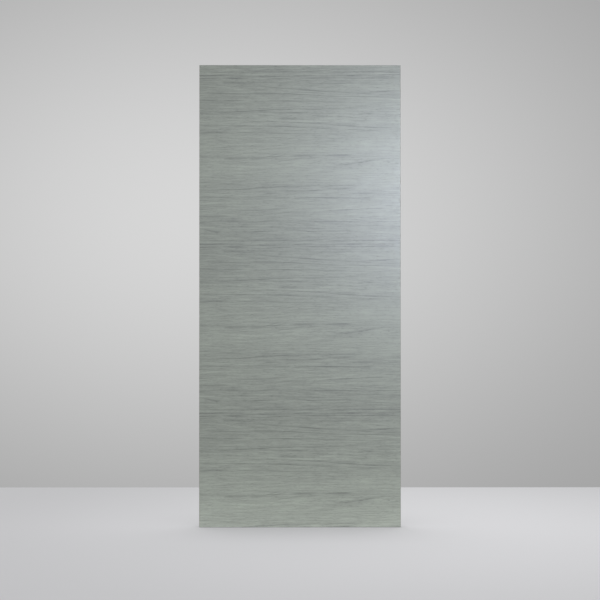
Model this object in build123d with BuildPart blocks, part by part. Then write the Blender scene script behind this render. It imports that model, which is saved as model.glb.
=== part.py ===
"""Flush door leaf, faced on both sides with wood-grain laminate and supplied without hardware.

Two stiles and two rails, joined by tongue and groove, make a frame round a board core and a
lock block on each side. A plywood skin is pressed on each face, a strip of laminate covers each
long edge, and a sheet of laminate covers each face out to the edges, trimmed there to a bevel.
The top and bottom edges are sawn square through all the layers and left bare.

X runs across the leaf from the hinge edge to the lock edge, Y through its thickness from the
front face to the back face, and Z up. The origin is on the hinge edge, at the foot of the leaf
and midway through its thickness. All sizes are in millimetres.
"""

from build123d import *

import os

# Face size of the leaf
leaf_width = 915.0
leaf_height = 2100.0

# Layers, which add up to a leaf 40 thick
frame_thickness = 32.0
ply_thickness = 3.2
laminate_thickness = 0.8

# Long edges: the strip on the edge, and what the bevel leaves of the face sheet's thickness
edge_strip_thickness = 0.8
bevel_land = 0.1

# Timber frame, with a groove run along the inner edge of each stile
stile_width = 38.0
top_rail_height = 75.0
bottom_rail_height = 100.0
groove_width = 10.0
groove_depth = 10.0

# Lock blocks, one beside each stile so that the leaf can be hung either way
lock_block_width = 100.0
lock_block_height = 400.0
lock_height = 1000.0

# Where the frame begins and ends, and the opening that its members leave for the core
frame_start = edge_strip_thickness
frame_width = leaf_width - 2 * edge_strip_thickness
opening_start = frame_start + stile_width
opening_width = frame_width - 2 * stile_width
opening_top = leaf_height - top_rail_height
block_bottom = lock_height - lock_block_height / 2
block_top = lock_height + lock_block_height / 2
board_thickness = frame_thickness + 2 * ply_thickness
leaf_middle = leaf_width / 2
middle_plane = Plane.YZ.offset(leaf_middle)


# Stiles: they run the full height, so their end grain and grooves show at the top and bottom
with BuildPart() as hinge_stile:
    with BuildSketch():
        with Locations((frame_start, 0)):
            Rectangle(stile_width, frame_thickness, align=(Align.MIN, Align.CENTER))
        with Locations((opening_start, 0)):
            Rectangle(groove_depth, groove_width, align=(Align.MAX, Align.CENTER), mode=Mode.SUBTRACT)
    extrude(amount=leaf_height)
hinge_stile.part.label = "hinge_stile"

with BuildPart() as lock_stile:
    mirror(hinge_stile.part, about=middle_plane)
lock_stile.part.label = "lock_stile"


# Rails: their shoulders meet the stiles, and a tongue at each end fills the stile's groove
def rail(foot, height):
    """A rail of this height with its lower edge at foot."""
    with BuildPart() as member:
        with BuildSketch(Plane.XY.offset(foot)):
            with Locations((leaf_middle, 0)):
                Rectangle(opening_width, frame_thickness)
                Rectangle(opening_width + 2 * groove_depth, groove_width)
        extrude(amount=height)
    return member


top_rail = rail(opening_top, top_rail_height)
top_rail.part.label = "top_rail"

bottom_rail = rail(0, bottom_rail_height)
bottom_rail.part.label = "bottom_rail"


# Lock blocks: solid timber against each stile, for a lock case that is let in on site
with BuildPart() as hinge_side_block:
    with BuildSketch(Plane.XZ):
        with Locations((opening_start, lock_height)):
            Rectangle(lock_block_width, lock_block_height, align=(Align.MIN, Align.CENTER))
    extrude(amount=frame_thickness / 2, both=True)
hinge_side_block.part.label = "hinge_side_block"

with BuildPart() as lock_side_block:
    mirror(hinge_side_block.part, about=middle_plane)
lock_side_block.part.label = "lock_side_block"


# Core boards: they fill the frame below, between and above the lock blocks
def core_board(foot, head, width):
    """A core board of this width, centred on the leaf, between the heights foot and head."""
    with BuildPart() as board:
        with BuildSketch(Plane.XZ):
            with Locations((leaf_middle, foot)):
                Rectangle(width, head - foot, align=(Align.CENTER, Align.MIN))
        extrude(amount=frame_thickness / 2, both=True)
    return board


lower_core = core_board(bottom_rail_height, block_bottom, opening_width)
lower_core.part.label = "lower_core"

middle_core = core_board(block_bottom, block_top, opening_width - 2 * lock_block_width)
middle_core.part.label = "middle_core"

upper_core = core_board(block_top, opening_top, opening_width)
upper_core.part.label = "upper_core"


# Plywood skins: pressed on both faces of the frame, as wide as the frame
with BuildPart() as front_ply:
    with BuildSketch(Plane.XZ.offset(frame_thickness / 2)):
        with Locations((leaf_middle, 0)):
            Rectangle(frame_width, leaf_height, align=(Align.CENTER, Align.MIN))
    extrude(amount=ply_thickness)
front_ply.part.label = "front_ply"

with BuildPart() as back_ply:
    mirror(front_ply.part, about=Plane.XZ)
back_ply.part.label = "back_ply"


# Edge strips: laminate over the stile and both skins, under the edges of the face sheets
with BuildPart() as hinge_edge_strip:
    with BuildSketch():
        Rectangle(edge_strip_thickness, board_thickness, align=(Align.MIN, Align.CENTER))
    extrude(amount=leaf_height)
hinge_edge_strip.part.label = "hinge_edge_strip"

with BuildPart() as lock_edge_strip:
    mirror(hinge_edge_strip.part, about=middle_plane)
lock_edge_strip.part.label = "lock_edge_strip"


# Face sheets: laminate out to the long edges, where the trimming bevel leaves a thin land
with BuildPart() as front_laminate:
    with BuildSketch(Plane.XZ.offset(board_thickness / 2)):
        Rectangle(leaf_width, leaf_height, align=(Align.MIN, Align.MIN))
    extrude(amount=laminate_thickness)
    show_face = front_laminate.faces().sort_by(Axis.Y)[0]
    chamfer(show_face.edges().filter_by(Axis.Z), laminate_thickness - bevel_land)
front_laminate.part.label = "front_laminate"

with BuildPart() as back_laminate:
    mirror(front_laminate.part, about=Plane.XZ)
back_laminate.part.label = "back_laminate"


pieces = [
    hinge_stile,
    lock_stile,
    top_rail,
    bottom_rail,
    hinge_side_block,
    lock_side_block,
    lower_core,
    middle_core,
    upper_core,
    front_ply,
    back_ply,
    hinge_edge_strip,
    lock_edge_strip,
    front_laminate,
    back_laminate,
]

os.makedirs("parts", exist_ok=True)
for piece in pieces:
    export_step(piece.part, f"parts/{piece.part.label}.step")
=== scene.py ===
"""Flush door leaf in grey-green wood-grain laminate: its finishes, and the floor, light and camera.

Sizes are in metres, in the leaf's own frame: X runs across from the hinge edge to the lock edge,
Y through the thickness from the front face to the back face, and Z up from the foot.
"""

import math

import bpy
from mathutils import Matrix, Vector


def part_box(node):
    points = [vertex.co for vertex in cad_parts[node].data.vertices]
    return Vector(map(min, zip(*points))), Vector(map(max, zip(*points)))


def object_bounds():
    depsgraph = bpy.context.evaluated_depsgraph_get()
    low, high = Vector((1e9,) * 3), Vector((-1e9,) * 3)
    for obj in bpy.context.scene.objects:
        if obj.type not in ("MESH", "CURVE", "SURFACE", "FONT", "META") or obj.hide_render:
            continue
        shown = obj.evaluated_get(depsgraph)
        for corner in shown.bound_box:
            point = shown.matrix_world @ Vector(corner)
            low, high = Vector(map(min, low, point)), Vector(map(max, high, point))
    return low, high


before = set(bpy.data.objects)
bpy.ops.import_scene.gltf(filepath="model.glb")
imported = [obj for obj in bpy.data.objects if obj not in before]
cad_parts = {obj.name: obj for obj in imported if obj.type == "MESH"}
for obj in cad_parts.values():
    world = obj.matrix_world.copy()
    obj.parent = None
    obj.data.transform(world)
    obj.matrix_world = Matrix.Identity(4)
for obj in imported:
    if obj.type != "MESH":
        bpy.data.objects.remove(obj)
cad_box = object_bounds()
bpy.ops.object.select_all(action="DESELECT")

# The leaf and its layers, as the frame has them
leaf_low, leaf_high = cad_box
leaf_width = leaf_high.x - leaf_low.x
leaf_height = leaf_high.z - leaf_low.z
front_face = leaf_low.y
back_face = leaf_high.y
ply_low, ply_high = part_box("front_ply")
laminate_thickness = ply_low.y - front_face
ply_thickness = ply_high.y - ply_low.y
frame_half = back_face - laminate_thickness - ply_thickness

# The laminate: printed paper under a clear overlay, on a brown core
printed_thickness = 0.00014
print_repeat = 0.7675
print_roughness = 0.34
laminate_ior = 1.5
print_dark = (0.043, 0.042, 0.047)
print_pale = (0.428, 0.474, 0.409)
brown_dark = (0.055, 0.031, 0.018)
brown_pale = (0.105, 0.066, 0.043)

# Where the strips of the long edges are cut from the printed sheet
hinge_strip_down = 0.715
lock_strip_down = 0.025
lock_strip_across = 3.0

# Broad bands of the print: how far down the repeat, as a share of it, and how pale
print_bands = (
    (0.000, 0.43),
    (0.080, 0.27),
    (0.160, 0.45),
    (0.265, 0.41),
    (0.330, 0.59),
    (0.420, 0.55),
    (0.500, 0.69),
    (0.550, 0.60),
    (0.635, 0.72),
    (0.740, 0.50),
    (0.820, 0.53),
    (0.900, 0.42),
    (1.000, 0.43),
)

# The tone of the darkest band, and how much paler the palest can be
darkest_band = 0.40
band_contrast = 0.20

# Sweeps of the printed grain: how far below the top of the repeat each one is, how far it reaches
# to both sides, and how much its lines fall across the leaf
sweeps = (
    (0.118, 0.060, 0.016),
    (0.268, 0.060, 0.018),
    (0.423, 0.050, -0.018),
    (0.600, 0.090, -0.010),
)

# Streaks of the print, from broad to fine: how many times longer than wide they are, a shift that
# keeps each set apart, how many a metre holds, their detail and roughness, and their contrast
streaks = (
    (7.0, 0.0, 11.0, 1.0, 0.5, 0.010),
    (12.0, 1.3, 20.0, 2.0, 0.6, 0.028),
    (28.0, 4.9, 80.0, 1.0, 0.6, 0.026),
    (15.0, 8.8, 190.0, 1.0, 0.6, 0.092),
)

# Growth layers of the print: how many a repeat holds, how long a strong stretch of one is, the
# contrast there, and a shift that keeps each set apart
growth_layers = (
    (41, 0.34, 0.050, 0.0),
    (57, 0.26, 0.052, 5.3),
    (76, 0.18, 0.078, 9.1),
)
layer_drift = 0.3
layer_shift = 7.31

# Growth lines of the print: start across, start down, end across, end down, how far the middle
# hangs below a straight line, the width, and the darkness, which is below 0 on a pale line
growth_lines = (
    (0.200, 0.032, 0.500, 0.029, 0.000, 0.0045, 0.9),
    (0.500, 0.029, 0.920, 0.033, -0.001, 0.0045, 0.6),
    (-0.10, 0.030, 0.215, 0.033, 0.000, 0.0045, 0.7),
    (0.440, 0.041, 1.000, 0.037, 0.000, 0.0045, -0.5),
    (-0.10, 0.039, 0.330, 0.042, 0.000, 0.0045, -0.9),
    (0.640, 0.045, 1.000, 0.042, 0.000, 0.0045, 0.9),
    (-0.10, 0.044, 0.290, 0.054, 0.000, 0.0045, 1.0),
    (0.270, 0.054, 0.720, 0.045, 0.000, 0.0045, 0.8),
    (0.540, 0.059, 1.000, 0.057, 0.000, 0.0045, 0.6),
    (-0.10, 0.061, 0.230, 0.061, 0.000, 0.0060, 1.0),
    (0.330, 0.063, 0.560, 0.059, 0.000, 0.0045, 0.9),
    (0.520, 0.083, 0.690, 0.083, 0.000, 0.0045, 0.7),
    (0.120, 0.076, 0.300, 0.093, 0.001, 0.0080, 0.4),
    (0.800, 0.077, 1.000, 0.092, 0.000, 0.0045, 0.5),
    (0.760, 0.113, 1.000, 0.107, 0.000, 0.0045, -0.6),
    (0.300, 0.100, 0.760, 0.130, 0.001, 0.0055, 1.1),
    (0.750, 0.124, 1.000, 0.113, 0.000, 0.0055, 0.9),
    (-0.10, 0.119, 0.085, 0.123, 0.000, 0.0055, 0.9),
    (0.050, 0.128, 0.340, 0.129, 0.000, 0.0045, 0.9),
    (0.320, 0.129, 0.600, 0.142, -0.001, 0.0050, 1.1),
    (0.580, 0.142, 1.000, 0.147, 0.001, 0.0050, 0.9),
    (0.760, 0.152, 1.000, 0.160, 0.000, 0.0055, -0.8),
    (-0.10, 0.159, 0.230, 0.160, 0.000, 0.0045, 0.8),
    (0.320, 0.161, 0.680, 0.170, -0.001, 0.0045, 0.8),
    (0.490, 0.203, 0.680, 0.195, 0.000, 0.0090, 0.5),
    (0.270, 0.206, 0.450, 0.199, 0.000, 0.0055, 1.0),
    (0.100, 0.217, 0.300, 0.206, 0.000, 0.0060, 0.8),
    (0.270, 0.216, 0.520, 0.216, 0.001, 0.0055, 1.0),
    (0.820, 0.218, 1.000, 0.219, 0.000, 0.0055, -0.7),
    (-0.10, 0.220, 0.080, 0.220, 0.000, 0.0060, 0.7),
    (0.480, 0.232, 0.700, 0.236, 0.000, 0.0045, 0.7),
    (0.360, 0.241, 0.460, 0.240, 0.000, 0.0050, 0.9),
    (0.480, 0.246, 1.000, 0.247, 0.000, 0.0045, -0.5),
    (0.250, 0.254, 0.450, 0.260, -0.001, 0.0050, 0.8),
    (0.420, 0.259, 0.800, 0.284, 0.000, 0.0050, 1.0),
    (-0.10, 0.274, 0.400, 0.278, 0.000, 0.0045, 0.9),
    (0.780, 0.283, 1.000, 0.287, 0.000, 0.0045, 0.8),
    (0.370, 0.278, 0.780, 0.295, 0.001, 0.0050, 1.0),
    (0.760, 0.294, 1.000, 0.289, 0.000, 0.0045, 0.6),
    (-0.10, 0.301, 0.090, 0.307, 0.000, 0.0120, 0.6),
    (0.090, 0.305, 0.640, 0.317, -0.001, 0.0045, 0.7),
    (0.290, 0.382, 0.380, 0.382, 0.000, 0.0060, 0.6),
    (0.570, 0.412, 0.680, 0.409, 0.001, 0.0080, 1.3),
    (0.300, 0.419, 0.360, 0.405, 0.000, 0.0060, 0.8),
    (0.430, 0.415, 0.530, 0.410, 0.000, 0.0080, 1.2),
    (-0.10, 0.416, 0.095, 0.416, 0.000, 0.0060, 0.9),
    (0.325, 0.423, 0.385, 0.409, 0.000, 0.0060, 0.8),
    (0.500, 0.423, 0.610, 0.411, 0.001, 0.0060, 0.7),
    (0.180, 0.420, 0.300, 0.422, 0.000, 0.0060, 0.7),
    (0.120, 0.424, 0.200, 0.425, 0.000, 0.0070, 1.0),
    (0.360, 0.438, 0.470, 0.422, 0.001, 0.0060, 0.8),
    (-0.10, 0.442, 0.110, 0.441, 0.000, 0.0060, 0.6),
    (0.600, 0.459, 0.830, 0.429, 0.001, 0.0065, 0.8),
    (-0.10, 0.461, 0.540, 0.461, 0.000, 0.0060, -0.5),
    (0.360, 0.552, 0.720, 0.550, -0.001, 0.0045, 0.8),
    (0.170, 0.567, 0.390, 0.552, -0.001, 0.0055, 1.2),
    (0.570, 0.563, 0.690, 0.562, 0.000, 0.0055, 1.0),
    (-0.10, 0.568, 0.200, 0.565, 0.001, 0.0045, 0.8),
    (0.380, 0.573, 0.570, 0.568, 0.000, 0.0050, 0.9),
    (0.300, 0.585, 0.350, 0.582, 0.000, 0.0120, 0.4),
    (0.710, 0.584, 1.000, 0.584, -0.001, 0.0060, 0.9),
    (0.630, 0.589, 0.740, 0.584, 0.000, 0.0045, 0.7),
    (-0.10, 0.594, 0.280, 0.585, 0.000, 0.0060, -0.5),
    (0.110, 0.603, 0.300, 0.599, 0.000, 0.0045, 0.7),
    (-0.10, 0.603, 0.130, 0.603, 0.000, 0.0050, 1.0),
    (0.350, 0.605, 0.530, 0.602, 0.000, 0.0060, 0.7),
    (0.500, 0.602, 0.780, 0.605, 0.000, 0.0050, 1.0),
    (-0.10, 0.628, 0.200, 0.627, 0.000, 0.0060, -0.6),
    (-0.10, 0.635, 0.150, 0.639, 0.000, 0.0090, 0.5),
    (0.530, 0.660, 0.650, 0.652, 0.000, 0.0045, -0.9),
    (-0.10, 0.657, 0.050, 0.657, 0.000, 0.0050, 1.0),
    (0.530, 0.668, 0.900, 0.646, -0.001, 0.0045, 0.6),
    (0.140, 0.665, 0.400, 0.650, 0.002, 0.0045, 0.7),
    (0.300, 0.678, 0.510, 0.664, -0.002, 0.0045, 0.7),
    (0.570, 0.686, 0.760, 0.676, 0.000, 0.0045, -0.8),
    (0.450, 0.685, 0.520, 0.682, 0.000, 0.0060, 0.6),
    (-0.10, 0.689, 0.120, 0.689, 0.000, 0.0080, 0.5),
    (0.080, 0.712, 0.380, 0.713, 0.000, 0.0045, 0.8),
    (0.490, 0.713, 1.000, 0.712, 0.000, 0.0050, 0.9),
    (-0.10, 0.719, 0.025, 0.719, 0.000, 0.0080, 1.0),
    (0.350, 0.726, 0.520, 0.732, 0.000, 0.0045, 0.8),
    (0.600, 0.724, 1.000, 0.735, 0.000, 0.0045, 0.7),
    (-0.10, 0.739, 0.080, 0.740, 0.000, 0.0060, -1.1),
    (0.570, 0.754, 0.700, 0.755, 0.000, 0.0050, 0.8),
    (0.460, 0.752, 0.530, 0.759, 0.000, 0.0060, 0.7),
    (0.025, 0.750, 0.095, 0.762, 0.001, 0.0070, 1.0),
    (0.240, 0.759, 0.310, 0.755, 0.000, 0.0060, 0.7),
)

# How dark a growth line is and how far it strays up or down, how long its ends take to fade, at
# most this share of half its length, and how far to each side it reaches, as a share of its width
line_darkness = 0.164
line_stray = 0.0016
line_fade = 0.045
line_fade_share = 0.6
line_reach_share = 0.8

# Threads and pores, and the tone that makes up for what the lines and pores take away
thread_contrast = 0.060
pore_contrast = 0.16
tone_made_up = 0.033

# Sawn timber and plywood, which show at the top and bottom edges
ring_width = 0.0028
ring_stray = 0.0022
ring_unevenness = 0.35
saw_mark_spacing = 0.0016
saw_mark_bow = 6.0
glue_line = 0.0003
face_veneer_share = 0.19
timber_ior = 1.45
timber_colours = (
    (0.00, (0.640, 0.465, 0.300)),
    (0.30, (0.560, 0.385, 0.225)),
    (0.65, (0.420, 0.260, 0.130)),
    (1.00, (0.270, 0.150, 0.070)),
)
timber_glue = (0.250, 0.165, 0.090)
veneer_colours = (
    (0.00, (0.620, 0.450, 0.300)),
    (0.35, (0.520, 0.350, 0.215)),
    (0.70, (0.370, 0.220, 0.125)),
    (1.00, (0.210, 0.115, 0.060)),
)
veneer_glue = (0.130, 0.070, 0.040)

# Core board, of pressed chips
chips_per_metre = 260.0
chip_colours = (
    (0.00, (0.600, 0.470, 0.315)),
    (0.40, (0.470, 0.345, 0.215)),
    (0.75, (0.360, 0.240, 0.140)),
    (1.00, (0.200, 0.125, 0.070)),
)

# Timber pieces: the axis that the grain runs along, and where the tree's centre lies, as its x and
# y for upright grain, or its z and y for level grain
timber_pieces = (
    ("hinge_stile", "Z", (-0.045, 0.052)),
    ("lock_stile", "Z", (leaf_width + 0.030, -0.047)),
    ("hinge_side_block", "Z", (0.090, 0.060)),
    ("lock_side_block", "Z", (leaf_width - 0.085, -0.055)),
    ("top_rail", "X", (leaf_height - 0.050, 0.046)),
    ("bottom_rail", "X", (0.035, -0.055)),
)

# Stage: a floor and a wall that reach far past the view and meet the room's tone far out. For the
# camera each glows with a painted pool of light, whose brightness fades in two ranges round its
# brightest place.
stage_size = 200.0
wall_distance = 1.21
horizon_tone = 0.47
# The floor's painted pool of light: where across it is brightest, the two ranges of its fade, and
# its brightness near, middle and far; then the floor's colour and the tint of its glow
floor_light_pool_x = 1.0
floor_light_pool_ranges = ((0.3, 2.4), (3.0, 9.0))
floor_light_pool_brightness = (0.79, 0.49, 0.34)
floor_colour = (0.74, 0.74, 0.75)
floor_tint = (0.99, 0.99, 1.02)
# The wall's painted pool of light: where it is brightest, across and up, the two ranges of its
# fade, and its brightness near, middle and far
wall_light_pool_x = -0.03
wall_light_pool_z = 1.52
wall_light_pool_ranges = ((0.0, 2.6), (2.6, 9.0))
wall_light_pool_brightness = (0.675, 0.367, horizon_tone)
black = (0.0, 0.0, 0.0)
white = (1.0, 1.0, 1.0)
window_colour = (0.776, 0.841, 1.0)
just_above_floor = 0.002


class Value:
    """A number or vector that varies over a surface: arithmetic on it adds Math nodes."""

    def __init__(self, finish, node, output=0):
        self.finish = finish
        self.node = node
        self.socket = node.outputs[output]

    def other(self, output):
        """Another output of the same node."""
        return Value(self.finish, self.node, output)

    def math(self, operation, *others):
        return self.finish.math(operation, self, *others)

    def __add__(self, other):
        return self.finish.math("ADD", self, other)

    def __radd__(self, other):
        return self.finish.math("ADD", other, self)

    def __sub__(self, other):
        return self.finish.math("SUBTRACT", self, other)

    def __rsub__(self, other):
        return self.finish.math("SUBTRACT", other, self)

    def __mul__(self, other):
        return self.finish.math("MULTIPLY", self, other)

    def __rmul__(self, other):
        return self.finish.math("MULTIPLY", other, self)

    def __truediv__(self, other):
        return self.finish.math("DIVIDE", self, other)

    def __rtruediv__(self, other):
        return self.finish.math("DIVIDE", other, self)

    def __pow__(self, other):
        return self.finish.math("POWER", self, other)

    def __rpow__(self, other):
        return self.finish.math("POWER", other, self)


class Finish:
    """The node tree of a material or of the world, and the way its nodes are added."""

    def __init__(self, owner):
        owner.use_nodes = True
        self.owner = owner
        self.tree = owner.node_tree
        self.tree.nodes.clear()

    def add(self, kind, settings=None, sockets=None, output=0):
        """One node of this kind: its settings come first, then its sockets' values or links."""
        node = self.tree.nodes.new(kind)
        for name, setting in (settings or {}).items():
            if name == "stops":
                set_stops(node.color_ramp, setting)
            elif name == "points":
                set_points(node.mapping, setting)
            else:
                setattr(node, name, setting)
        for name, value in (sockets or {}).items():
            if isinstance(value, Value):
                self.tree.links.new(value.socket, node.inputs[name])
            else:
                node.inputs[name].default_value = value
        return Value(self, node, output) if node.outputs else None

    def math(self, operation, *values):
        return self.add("ShaderNodeMath", {"operation": operation}, dict(enumerate(values)))

    def place(self):
        """Where a surface point is: its x, y and z in the leaf's frame."""
        point = self.add("ShaderNodeTexCoord", output="Object")
        x = self.add("ShaderNodeSeparateXYZ", sockets={0: point})
        return x, x.other(1), x.other(2)

    def facing(self, axis):
        """How squarely the surface faces along this axis, either way: 1 is square on."""
        normal = self.add("ShaderNodeTexCoord", output="Normal")
        parts = self.add("ShaderNodeSeparateXYZ", sockets={0: normal}, output="XYZ".index(axis))
        return self.smooth(parts.math("ABSOLUTE"), 0.5, 0.9)

    def vector(self, x, y, z):
        return self.add("ShaderNodeCombineXYZ", sockets={0: x, 1: y, 2: z})

    def length(self, x, y, z):
        """The length of the vector x, y, z."""
        point = self.vector(x, y, z)
        return self.add("ShaderNodeVectorMath", {"operation": "LENGTH"}, {0: point}, "Value")

    def noise(self, point, scale, detail=0.0, roughness=0.5):
        """Soft noise round 0, with most of it between -1 and 1."""
        sockets = {"Vector": point, "Scale": scale, "Detail": detail, "Roughness": roughness}
        return self.add("ShaderNodeTexNoise", sockets=sockets) * 4.0 - 2.0

    def smooth(self, value, start, end, low=0.0, high=1.0):
        """A smooth step from low, where the value is start, to high, where it is end."""
        settings = {"interpolation_type": "SMOOTHSTEP"}
        sockets = {0: value, 1: start, 2: end, 3: low, 4: high}
        return self.add("ShaderNodeMapRange", settings, sockets)

    def mix(self, factor, first, second):
        """The first colour where the factor is 0 and the second where it is 1."""
        sockets = {0: factor}
        for name, colour in ((6, first), (7, second)):
            sockets[name] = colour if isinstance(colour, Value) else opaque(colour)
        return self.add("ShaderNodeMix", {"data_type": "RGBA"}, sockets, 2)

    def ramp(self, value, stops):
        """The colour that (position, colour) stops give at this value."""
        return self.add("ShaderNodeValToRGB", {"stops": stops}, {0: value})

    def surface(self, colour, roughness, height, bump_strength, bump_depth, ior):
        """Finishes the material with one Principled shader, bumped by the height."""
        sockets = {"Strength": bump_strength, "Distance": bump_depth, "Height": height}
        bump = self.add("ShaderNodeBump", sockets=sockets)
        sockets = {"Base Color": colour, "Roughness": roughness, "IOR": ior, "Normal": bump}
        shader = self.add("ShaderNodeBsdfPrincipled", sockets=sockets)
        self.add("ShaderNodeOutputMaterial", sockets={"Surface": shader})
        return self.owner

    def glow(self, brightness, colour):
        """Light of this colour, as bright as this."""
        shade = self.mix(brightness, black, colour)
        return self.add("ShaderNodeEmission", sockets={"Color": shade})


def set_stops(ramp, stops):
    """Gives a colour ramp these (position, colour) stops."""
    while len(ramp.elements) < len(stops):
        ramp.elements.new(1.0)
    for element, (position, colour) in zip(ramp.elements, stops):
        element.position = position
        element.color = opaque(colour)


def set_points(mapping, points):
    """Gives a float curve these (position, height) points."""
    curve = mapping.curves[0]
    while len(curve.points) < len(points):
        curve.points.new(1.0, 1.0)
    for point, place in zip(curve.points, points):
        point.location = place
    mapping.update()


def new_finish(name):
    return Finish(bpy.data.materials.new(name))


def opaque(colour):
    return (*colour, 1.0)


def drawn_lines(finish, across, level):
    """How dark the growth lines make the print at this place."""
    lines = 0.0
    for start, top, end, foot, hang, width, dark in growth_lines:
        half = (end - start) / 2
        middle = (start + end) / 2
        slope = (foot - top) / (end - start)
        offset = (top + foot) / 2 - slope * middle
        if hang:
            bend = -4 * hang / (end - start) ** 2
            offset = offset + hang + bend * middle**2
            slope = across * bend + (slope - 2 * bend * middle)
        line = finish.math("MULTIPLY_ADD", across, slope, offset)
        gap = (level - line).math("ABSOLUTE")
        fade = min(line_fade, half * line_fade_share)
        along = (across - middle).math("ABSOLUTE")
        strength = finish.smooth(along, half + fade, half - fade, 0.0, line_darkness * dark)
        core = finish.smooth(gap, width * line_reach_share, 0.0)
        lines = finish.math("MULTIPLY_ADD", core, strength, lines)
    return lines


def printed_grain(finish, across, down, with_lines):
    """The print's tone, its pores and its threads. A tone of 0.5 is the middle between its colours.

    The print repeats down the leaf, so its noise is taken round a cylinder of the repeat's length,
    as the paper is printed. Across the leaf it is stretched into long level streaks.
    """
    wrapped = (down / print_repeat).math("FRACT") * print_repeat
    fall = 0.0
    for centre, reach, drop in sweeps:
        sweep = finish.smooth((wrapped - centre).math("ABSOLUTE"), reach, 0.0, 0.0, drop)
        fall = sweep + fall
    fall = fall * across / leaf_width

    turn = 2 * math.pi / print_repeat
    radius = 1 / turn

    def ring(level, stretch, shift):
        """A point on the printing cylinder, with the length across divided by the stretch."""
        angle = level * turn
        along = finish.math("MULTIPLY_ADD", across, 1 / stretch, shift)
        return finish.vector(along, angle.math("COSINE") * radius, angle.math("SINE") * radius)

    stray = finish.noise(ring(down, 5.0, 3.1), scale=22.0, detail=1.0) * line_stray
    level = down - fall + stray

    share = wrapped / print_repeat
    bands = finish.add("ShaderNodeFloatCurve", {"points": print_bands}, {"Value": share})
    tone = bands * band_contrast + darkest_band
    for stretch, shift, scale, detail, roughness, contrast in streaks:
        streak = finish.noise(ring(level, stretch, shift), scale, detail, roughness)
        tone = tone + streak * contrast
    finest = streak

    # Growth layers: pale and dark ripples in turn, of which only some come out strongly
    for count, length, contrast, shift in growth_layers:
        drift = finish.noise(ring(level, 14.0, 2.2 + shift), scale=20.0) * layer_drift
        growth = level * (count / print_repeat) + drift
        number = growth.math("FLOOR").math("WRAP", count, 0.0)
        where = finish.vector(across / length + shift, number * layer_shift, shift)
        patches = finish.noise(where, scale=1.0, detail=1.0)
        strength = finish.smooth(patches, -0.1, 1.4, 0.0, contrast)
        tone = tone + (growth * (2 * math.pi)).math("SINE") * strength

    if with_lines:
        lines = drawn_lines(finish, across, wrapped + stray)
        tone = tone - lines * (1.0 - finest * 0.3)

    # What shows only from near by: threads and short pores
    threads = finish.noise(ring(level, 50.0, 1.7), scale=420.0, detail=1.0, roughness=0.6)
    pores = finish.smooth(finish.noise(ring(level, 16.0, 6.1), scale=900.0), 0.35, 0.95)
    tone = tone + threads * thread_contrast - pores * pore_contrast + tone_made_up
    return tone, pores, threads


def laminate(name, across, down, depth, with_lines):
    """The laminate on one face or edge.

    across, down and depth take a point's x, y and z. They give how far across the printed sheet it
    lies, along the grain, how far down the sheet, and how deep below the printed face.
    """
    finish = new_finish(name)
    x, y, z = finish.place()
    across_sheet = across(x, y, z)
    down_sheet = down(x, y, z)
    tone, pores, threads = printed_grain(finish, across_sheet, down_sheet, with_lines)
    colour = finish.mix(tone, print_dark, print_pale)
    core = finish.smooth(depth(x, y, z), printed_thickness, printed_thickness * 1.4)
    sheets = finish.noise(finish.vector(x, y, z / 40), scale=5200.0, detail=1.0)
    brown = finish.mix(sheets * 0.3 + 0.5, brown_dark, brown_pale)
    colour = finish.mix(core, colour, brown)
    point = finish.vector(across_sheet * 2.0, down_sheet * 2.0, 0.0)
    patches = finish.noise(point, scale=6.0, detail=2.0)
    roughness = patches * 0.012 + pores * 0.08 + core * 0.3 + print_roughness
    height = threads * 0.25 - pores + sheets * core
    return finish.surface(
        colour, roughness, height, bump_strength=0.5, bump_depth=0.00002, ior=laminate_ior
    )


def saw_marks(finish, x, y):
    """The score of the saw that squared the leaf's ends: faint arcs across its thickness."""
    arc = x + y * y * saw_mark_bow
    coarse = finish.noise(finish.vector(arc * 90.0, 0.0, 0.0), scale=1.0, detail=2.0)
    tooth = (arc * (2 * math.pi / saw_mark_spacing)).math("SINE")
    return coarse * 0.6 + tooth * 0.4


def timber(name, grain, heart):
    """Sawn softwood, with its growth rings round a line that runs along the grain."""
    finish = new_finish(name)
    x, y, z = finish.place()
    side, length = (x, z) if grain == "Z" else (z, x)
    heart_side, heart_y = heart
    beside = side - heart_side
    through = y - heart_y
    point = finish.vector(beside, through, length * 0.12)
    stray = finish.noise(point, scale=16.0, detail=1.0) * ring_stray
    radius = (beside * beside + through * through) ** 0.5 + stray
    rings = radius / ring_width
    uneven = finish.noise(finish.vector(radius, 0.0, 0.0), scale=90.0)
    rings = rings + uneven * ring_unevenness
    layer = rings.math("FRACT")
    late = finish.smooth(layer, 0.30, 0.90) * finish.smooth(layer, 1.0, 0.93)
    point = finish.vector(beside, through, length / 24)
    fibres = finish.noise(point, scale=1300.0, detail=2.0, roughness=0.7)
    patches = finish.noise(finish.vector(beside, through, length / 6), scale=30.0, detail=1.0)
    tone = late * 0.60 + fibres * 0.19 + patches * 0.12 + 0.20

    # End grain is darker, with open pores and rays out from the heart
    end = finish.facing(grain)
    pores = finish.smooth(finish.noise(finish.vector(x, y, z), scale=2400.0), 0.0, 0.8)
    round_heart = beside.math("ARCTAN2", through) * 60.0
    rays = finish.noise(finish.vector(round_heart, radius * 30.0, 0.0), scale=4.0) * 0.10
    tone = tone + end * (pores * 0.30 + rays + 0.14)

    marks = saw_marks(finish, x, y) * finish.facing("Z")
    tone = tone + marks * 0.05
    glue = finish.smooth(y.math("ABSOLUTE"), frame_half - glue_line, frame_half)
    colour = finish.mix(glue * 0.7, finish.ramp(tone, timber_colours), timber_glue)
    roughness = fibres * 0.05 + late * -0.08 + 0.72
    height = marks * 0.5 + fibres * 0.35 + late * 0.25 - end * pores * 0.5
    return finish.surface(
        colour, roughness, height, bump_strength=0.7, bump_depth=0.00014, ior=timber_ior
    )


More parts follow.
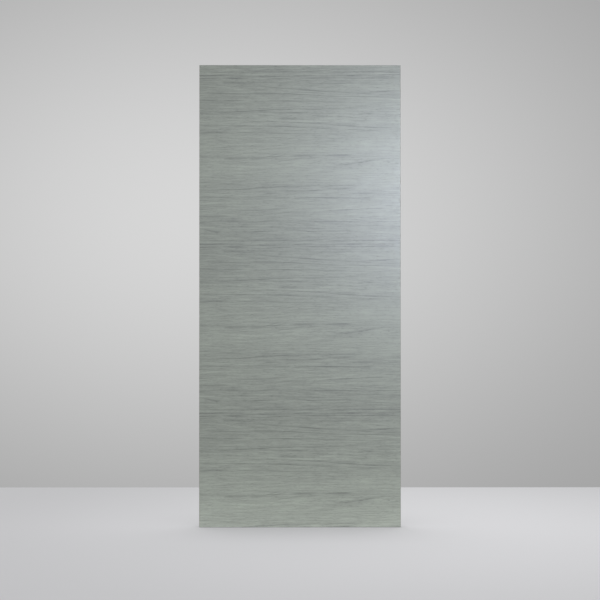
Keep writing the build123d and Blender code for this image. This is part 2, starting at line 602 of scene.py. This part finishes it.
def plywood(name, depth):
    """A plywood skin. depth takes a point's y and gives how far in from the laminate it is."""
    finish = new_finish(name)
    x, y, z = finish.place()
    core_half = 0.5 - face_veneer_share
    off_middle = (depth(y) / ply_thickness - 0.5).math("ABSOLUTE")
    outer = finish.smooth(off_middle, core_half, core_half + 0.02)
    glue = finish.smooth((off_middle - core_half).math("ABSOLUTE"), 0.035, 0.010)
    level = finish.noise(finish.vector(x / 25, y, z), scale=1300.0, detail=2.0, roughness=0.6)
    upright = finish.noise(finish.vector(x, y, z / 25), scale=1300.0, detail=2.0, roughness=0.6)
    figure = finish.noise(finish.vector(x, y * 4.0, z / 9), scale=34.0, detail=2.0)
    streaks = level * (1.0 - outer) + upright * outer
    point = finish.vector(x * 1.6, y * 0.4, z)
    checks = finish.smooth(finish.noise(point, scale=420.0), 0.45, 0.75)
    sawn = finish.facing("Z")
    marks = saw_marks(finish, x, y) * sawn
    tone = streaks * 0.20 + figure * 0.09 + outer * sawn * 0.30 + checks * sawn * 0.20
    tone = tone + marks * 0.05 + 0.24
    colour = finish.mix(glue * 0.75, finish.ramp(tone, veneer_colours), veneer_glue)
    roughness = streaks * 0.06 + 0.68
    height = marks * 0.6 + streaks * 0.3 - checks * 0.3
    return finish.surface(
        colour, roughness, height, bump_strength=0.6, bump_depth=0.00012, ior=timber_ior
    )


def core_board(name):
    """Pressed board of wood chips that lie flat in the leaf."""
    finish = new_finish(name)
    x, y, z = finish.place()
    bent = finish.noise(finish.vector(x, y, z), scale=90.0, detail=1.0) * 0.004
    sockets = {"Vector": finish.vector(x + bent, y * 3.5, z - bent), "Scale": chips_per_metre}
    chips = finish.add("ShaderNodeTexVoronoi", {"feature": "F1"}, sockets, "Color")
    shade = finish.add("ShaderNodeSeparateXYZ", sockets={0: chips})
    edge = finish.add(
        "ShaderNodeTexVoronoi", {"feature": "DISTANCE_TO_EDGE"}, sockets, "Distance"
    )
    fibres = finish.noise(finish.vector(x, y * 3.0, z / 6), scale=900.0, detail=2.0)
    gaps = finish.smooth(edge, 0.08, 0.0)
    tone = shade * 0.6 + fibres * 0.12 + gaps * 0.25 + 0.08
    colour = finish.ramp(tone, chip_colours)
    roughness = fibres * 0.05 + 0.75
    height = fibres * 0.2 - gaps
    return finish.surface(
        colour, roughness, height, bump_strength=0.6, bump_depth=0.0002, ior=timber_ior
    )


def put_on(node, material):
    """Gives a CAD node this material in each of its slots."""
    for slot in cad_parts[node].material_slots:
        slot.material = material


# The back has the same print as the front, and starts from its own left edge as the front does
face_finish = laminate(
    "printed_face",
    across=lambda x, y, z: (leaf_width / 2 - x) * y.math("SIGN") + leaf_width / 2,
    down=lambda x, y, z: leaf_high.z - z,
    depth=lambda x, y, z: back_face - y.math("ABSOLUTE"),
    with_lines=True,
)
put_on("front_laminate", face_finish)
put_on("back_laminate", face_finish)
hinge_edge_finish = laminate(
    "printed_hinge_edge",
    across=lambda x, y, z: z,
    down=lambda x, y, z: y + hinge_strip_down,
    depth=lambda x, y, z: x,
    with_lines=False,
)
put_on("hinge_edge_strip", hinge_edge_finish)
lock_edge_finish = laminate(
    "printed_lock_edge",
    across=lambda x, y, z: z + lock_strip_across,
    down=lambda x, y, z: y + lock_strip_down,
    depth=lambda x, y, z: leaf_width - x,
    with_lines=False,
)
put_on("lock_edge_strip", lock_edge_finish)

for name, grain, heart in timber_pieces:
    put_on(name, timber("timber_" + name, grain, heart))
put_on("front_ply", plywood("plywood_front", lambda y: y - (front_face + laminate_thickness)))
put_on("back_ply", plywood("plywood_back", lambda y: (back_face - laminate_thickness) - y))
chip_board = core_board("chip_board")
for name in ("lower_core", "middle_core", "upper_core"):
    put_on(name, chip_board)


def stage_plane(name, distance, turned):
    """A plane of the stage, this far behind the leaf and turned about X from lying flat."""
    place = (leaf_width / 2, distance, 0.0)
    bpy.ops.mesh.primitive_plane_add(size=stage_size, location=place, rotation=(turned, 0, 0))
    made = bpy.context.object
    made.name = name
    bpy.ops.object.transform_apply(location=True, rotation=True, scale=True)
    return made


def painted_light_falloff(finish, spread, ranges, tones):
    """A brightness that fades in two ranges of the spread: from near to middle, and then to far. It
    paints the pools of light on the floor and the wall.
    """
    inner, outer = ranges
    near, middle, far = tones
    tone = finish.smooth(spread, *inner, near, middle)
    return tone + finish.smooth(spread, *outer, 0.0, far - middle)


# Floor: a plain pale floor, which takes the leaf's shadow; the camera sees half of it and half a
# glow that holds a painted pool of light and a painted contact shadow
floor = stage_plane("floor", 0.0, 0.0)
finish = new_finish("floor_with_painted_light")
x, y, _ = finish.place()
# Painted pool of light: the glow is brightest just right of the leaf's foot and fades away from
# there
spread = finish.length(x - floor_light_pool_x, y, 0.0)
# Painted contact shadow: ambient occlusion darkens the glow round the leaf's foot
painted_contact_shadow = finish.add("ShaderNodeAmbientOcclusion", {"samples": 16}, {"Distance": 0.40}, "AO")
tone = painted_light_falloff(finish, spread, floor_light_pool_ranges, floor_light_pool_brightness)
lit = finish.add("ShaderNodeBsdfDiffuse", sockets={"Color": opaque(floor_colour)})
# The glow that the camera sees, with the painted pool of light and the painted contact shadow in it
painted_light_glow = finish.glow(tone * (painted_contact_shadow * 0.5 + 0.5), floor_tint)
seen = finish.add("ShaderNodeLightPath", output="Is Camera Ray") * 0.5
shown = finish.add("ShaderNodeMixShader", sockets={0: seen, 1: lit, 2: painted_light_glow})
finish.add("ShaderNodeOutputMaterial", sockets={"Surface": shown})
floor.data.materials.append(finish.owner)

# Wall: seen from the front alone, and without effect on the leaf. It glows with a painted pool of
# light
wall = stage_plane("wall", wall_distance, math.pi / 2)
wall.visible_diffuse = False
wall.visible_glossy = False
wall.visible_transmission = False
wall.visible_shadow = False
finish = new_finish("wall_with_painted_light")
away = finish.add("ShaderNodeNewGeometry", output="Backfacing")
x, _, z = finish.place()
# Painted pool of light: the glow is brightest behind the upper leaf, darker towards the corners,
# and back at the horizon's tone far out
spread = finish.length((x - wall_light_pool_x) * 0.7, 0.0, (z - wall_light_pool_z) * 1.11)
painted_light_glow = finish.glow(painted_light_falloff(finish, spread, wall_light_pool_ranges, wall_light_pool_brightness), white)
clear = finish.add("ShaderNodeBsdfTransparent")
shown = finish.add("ShaderNodeMixShader", sockets={0: away, 1: painted_light_glow, 2: clear})
finish.add("ShaderNodeOutputMaterial", sockets={"Surface": shown})
wall.data.materials.append(finish.owner)

# Light: a pale room with a soft lamp in front, a cool window that the satin face reflects, and
# light coming up from the floor at the foot of the leaf. The room is darker in front of the leaf
# than behind it, and where it is seen past the stage it has the horizon's tone.
room = Finish(bpy.data.worlds.new("pale_room"))
bpy.context.scene.world = room.owner
towards = room.add("ShaderNodeTexCoord", output="Generated")
behind = room.add("ShaderNodeSeparateXYZ", sockets={0: towards}, output=1)
level = room.smooth(behind, -0.05, 0.25, 0.62, 1.02)
seen = room.add("ShaderNodeLightPath", output="Is Camera Ray")
level = level * (1.0 - seen) + seen * horizon_tone
air = room.add("ShaderNodeBackground", sockets={"Color": opaque(white), "Strength": level})
room.add("ShaderNodeOutputWorld", sockets={"Surface": air})


def lamp(name, place, turned, width, height, radiance, colour=white):
    """A rectangular lamp that the camera doesn't see, turned about X from facing down."""
    bpy.ops.object.light_add(type="AREA", location=place, rotation=(turned, 0, 0))
    made = bpy.context.object
    made.name = name
    made.data.shape = "RECTANGLE"
    made.data.size = width
    made.data.size_y = height
    made.data.energy = radiance * math.pi * width * height
    made.data.color = colour
    made.visible_camera = False
    return made


soft_lamp = lamp("soft_lamp", (2.6, -6.0, 2.6), math.pi / 2, 2.4, 2.4, 7.8)
soft_lamp.visible_glossy = False
off_floor = bpy.data.collections.new("not_lit_by_soft_lamp")
off_floor.objects.link(floor)
off_floor.collection_objects[0].light_linking.link_state = "EXCLUDE"
soft_lamp.light_linking.receiver_collection = off_floor
window = lamp("window", (2.81, -6.0, 2.06), math.pi / 2, 3.39, 0.42, 91.0, window_colour)
window.visible_diffuse = False
for name, distance, width, height, radiance in (
    ("foot_light", 0.142, 2.0, 0.24, 0.80),
    ("toe_light", 0.026, 1.2, 0.010, 0.70),
    ("floor_light", 0.60, 2.0, 0.60, 0.28),
):
    place = (leaf_width / 2, -distance, just_above_floor)
    lamp(name, place, math.pi, width, height, radiance)

# Camera
bpy.ops.object.camera_add(
    location=(0.4432, -5.5152, 0.9902),
    rotation=(math.radians(90.43), 0.0, math.radians(-0.149)),
)
camera = bpy.context.object
camera.name = "camera"
camera.data.sensor_width = 36.0
camera.data.lens = 72.57
camera.data.dof.use_dof = False
bpy.context.scene.camera = camera
bpy.context.scene.view_settings.view_transform = "Standard"
